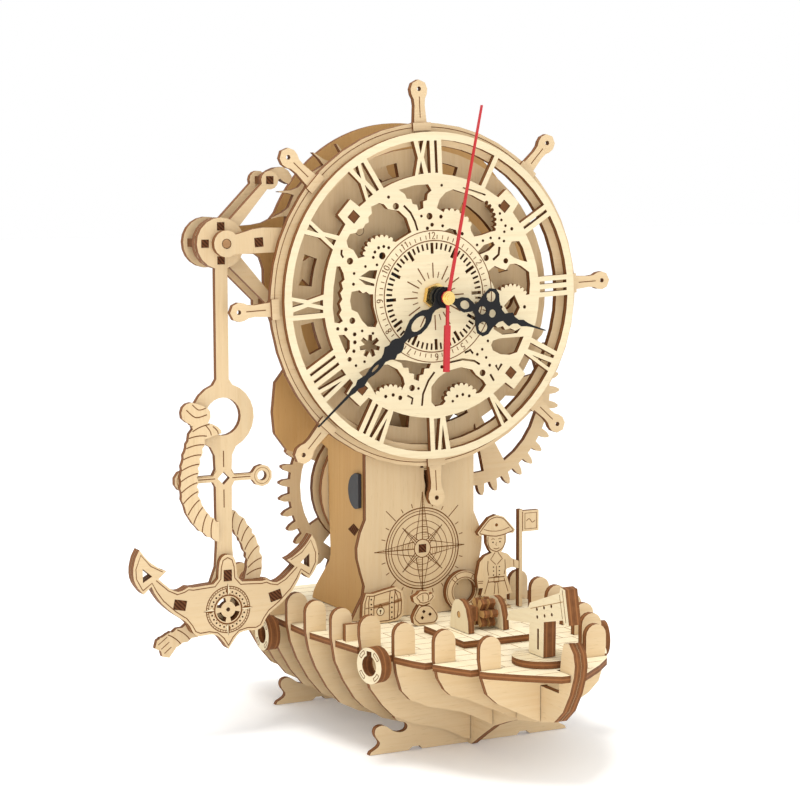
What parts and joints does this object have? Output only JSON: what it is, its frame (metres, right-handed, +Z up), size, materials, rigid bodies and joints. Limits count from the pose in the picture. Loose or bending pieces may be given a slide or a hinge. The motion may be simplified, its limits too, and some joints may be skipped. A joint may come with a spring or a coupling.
{
  "type": "wooden 3d jigsaw model",
  "caption": "Ship-shaped laser-cut plywood clock: ribbed hull, tower with open gear train, ship's-wheel dial with hands and swinging anchor pendulum",
  "frame": {"origin": "on the ship's centre plane, under the flat of the keel, at the level of the surface it stands on", "axes": "+X runs right across the dial as it is read, -Y is the bow and the way the dial faces, +Y is the stern, +Z is up"},
  "size_m": [0.2402, 0.2364, 0.2992],
  "materials": {
    "birch_ply": "bare sanded birch plywood with burnt brown cut edges",
    "pale_ply": "bare pale plywood with brown burnt engraving and cut edges",
    "tan_ply": "bare warm tan plywood with burnt cut edges",
    "bar_wood": "dark burnt wood, matte",
    "brass": "polished",
    "black_metal": "satin black paint",
    "red_metal": "satin red paint",
    "black_plastic": "matte black"
  },
  "bodies": {
    "ship": {"keel": "birch_ply", "stem_doubler": "birch_ply", "foot_front": "birch_ply", "foot_rear": "birch_ply", "rib_01": "birch_ply", "rib_02": "birch_ply", "rib_03": "birch_ply", "rib_04": "birch_ply", "rib_05": "birch_ply", "rib_06": "birch_ply", "rib_07": "birch_ply", "rib_08": "birch_ply", "rib_09": "birch_ply", "rib_10": "birch_ply", "rib_11": "birch_ply", "treasure_chest": "birch_ply", "money_bag": "birch_ply", "deck_ring": "birch_ply", "captain": "birch_ply", "tower_front": "birch_ply", "handle_wheel": "birch_ply", "main_deck": "pale_ply", "life_ring_left_fore": "pale_ply", "life_ring_right_fore": "pale_ply", "life_ring_left_aft": "pale_ply", "life_ring_right_aft": "pale_ply", "fore_platform": "pale_ply", "windlass_cheek_left": "pale_ply", "windlass_cheek_right": "pale_ply", "cannon_base": "pale_ply", "dial_face": "pale_ply", "tower_left": "tan_ply", "tower_right": "tan_ply", "tower_back": "tan_ply", "back_plate": "tan_ply", "dial_spacer_1": "bar_wood", "dial_spacer_2": "bar_wood", "dial_spacer_3": "bar_wood", "dial_spacer_4": "bar_wood", "side_plug": "black_plastic", "clock_movement": "black_plastic", "clock_nut": "brass"},
    "great": {"great_wheel": "birch_ply", "winding_drum": "birch_ply"},
    "middle": {"middle_wheel": "birch_ply", "middle_arbor": "bar_wood"},
    "centre": {"centre_wheel": "birch_ply"},
    "escapement": {"escape_wheel": "birch_ply"},
    "pendulum": {"anchor_plate": "birch_ply", "pendulum_rod": "birch_ply", "pallet_frame": "birch_ply", "pendulum_back_disc": "birch_ply", "rope_front": "birch_ply", "rope_rear": "birch_ply", "pendulum_arbor": "bar_wood"},
    "second": {"second_hand": "red_metal"},
    "minute": {"minute_hand": "black_metal"},
    "hour": {"hour_hand": "black_metal"},
    "windlass": {"windlass_drum": "tan_ply"},
    "cannon": {"cannon_gun": "pale_ply"}
  },
  "joints": [
    {"name": "great_turn", "type": "hinge", "parent": "ship", "child": "great", "pos_m": [0, 0.0505, 0.1053], "axis": [0, 1, 0], "continuous": true},
    {"name": "middle_turn", "type": "hinge", "parent": "ship", "child": "middle", "pos_m": [0.0347, 0.0115, 0.1513], "axis": [0, 1, 0], "continuous": true},
    {"name": "centre_turn", "type": "hinge", "parent": "ship", "child": "centre", "pos_m": [0, 0.016, 0.2006], "axis": [0, 1, 0], "continuous": true},
    {"name": "escape_turn", "type": "hinge", "parent": "ship", "child": "escapement", "pos_m": [-0.031, 0.006, 0.2308], "axis": [0, 1, 0], "continuous": true},
    {"name": "pendulum_swing", "type": "hinge", "parent": "ship", "child": "pendulum", "pos_m": [-0.0965, 0.0027, 0.2262], "axis": [0, 1, 0], "range_deg": [-3.5, 3.5]},
    {"name": "second_turn", "type": "hinge", "parent": "ship", "child": "second", "pos_m": [0, -0.032, 0.2006], "axis": [0, 1, 0], "continuous": true},
    {"name": "minute_turn", "type": "hinge", "parent": "ship", "child": "minute", "pos_m": [0, -0.028, 0.2006], "axis": [0, 1, 0], "continuous": true},
    {"name": "hour_turn", "type": "hinge", "parent": "ship", "child": "hour", "pos_m": [0, -0.025, 0.2006], "axis": [0, 1, 0], "continuous": true},
    {"name": "windlass_turn", "type": "hinge", "parent": "ship", "child": "windlass", "pos_m": [0, -0.057, 0.0605], "axis": [1, 0, 0], "continuous": true},
    {"name": "cannon_swivel", "type": "hinge", "parent": "ship", "child": "cannon", "pos_m": [0, -0.1155, 0.053], "axis": [0, 0, 1], "range_deg": [-40, 40]}
  ],
  "couplings": [
    {"joint": "middle_turn", "follows": "great_turn", "ratio": -3.8},
    {"joint": "centre_turn", "follows": "great_turn", "ratio": 15.2},
    {"joint": "escape_turn", "follows": "great_turn", "ratio": -39.52},
    {"joint": "minute_turn", "follows": "second_turn", "ratio": 0.016667},
    {"joint": "hour_turn", "follows": "second_turn", "ratio": 0.0013889}
  ]
}
